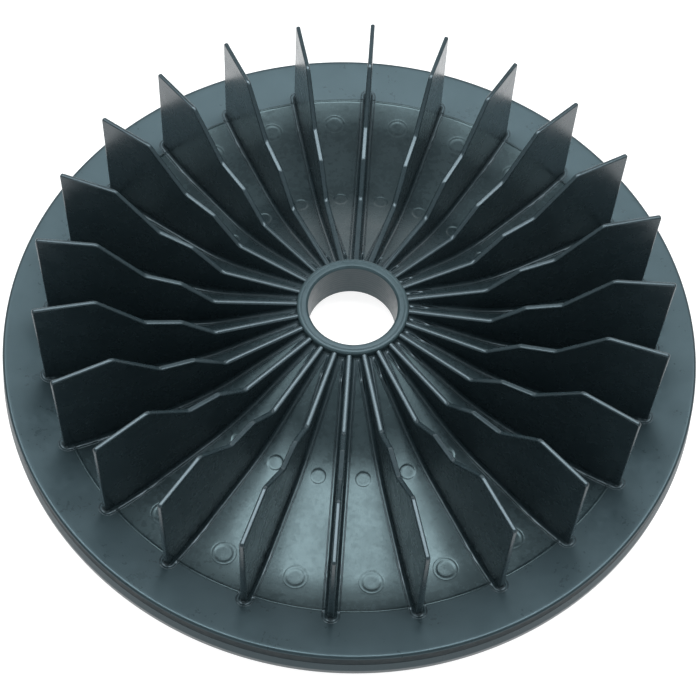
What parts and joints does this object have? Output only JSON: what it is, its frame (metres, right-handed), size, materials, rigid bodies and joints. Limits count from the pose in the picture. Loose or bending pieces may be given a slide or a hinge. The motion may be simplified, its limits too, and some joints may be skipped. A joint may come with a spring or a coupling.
{
  "type": "centrifugal blower fan wheel",
  "caption": "One-piece moulded radial fan wheel: a bored hub on a dished disc with straight stepped blades and a turned-down beaded rim.",
  "frame": {"origin": "on the bore axis, in the plane of the rim's foot, on which the wheel stands", "axes": "+Z along the bore axis towards the blades; blade_01 points along +Y and the others follow clockwise seen from +Z"},
  "size_m": [0.3, 0.3, 0.0604],
  "materials": {
    "moulded_plastic": "moulded, semi-gloss"
  },
  "bodies": {
    "root": {"hub": "moulded_plastic", "dish": "moulded_plastic", "flange": "moulded_plastic", "rim": "moulded_plastic", "blade_01": "moulded_plastic", "blade_02": "moulded_plastic", "blade_03": "moulded_plastic", "blade_04": "moulded_plastic", "blade_05": "moulded_plastic", "blade_06": "moulded_plastic", "blade_07": "moulded_plastic", "blade_08": "moulded_plastic", "blade_09": "moulded_plastic", "blade_10": "moulded_plastic", "blade_11": "moulded_plastic", "blade_12": "moulded_plastic", "blade_13": "moulded_plastic", "blade_14": "moulded_plastic", "blade_15": "moulded_plastic", "blade_16": "moulded_plastic", "blade_17": "moulded_plastic", "blade_18": "moulded_plastic", "blade_19": "moulded_plastic", "blade_20": "moulded_plastic", "blade_21": "moulded_plastic", "blade_22": "moulded_plastic", "blade_23": "moulded_plastic", "blade_24": "moulded_plastic"}
  },
  "joints": []
}
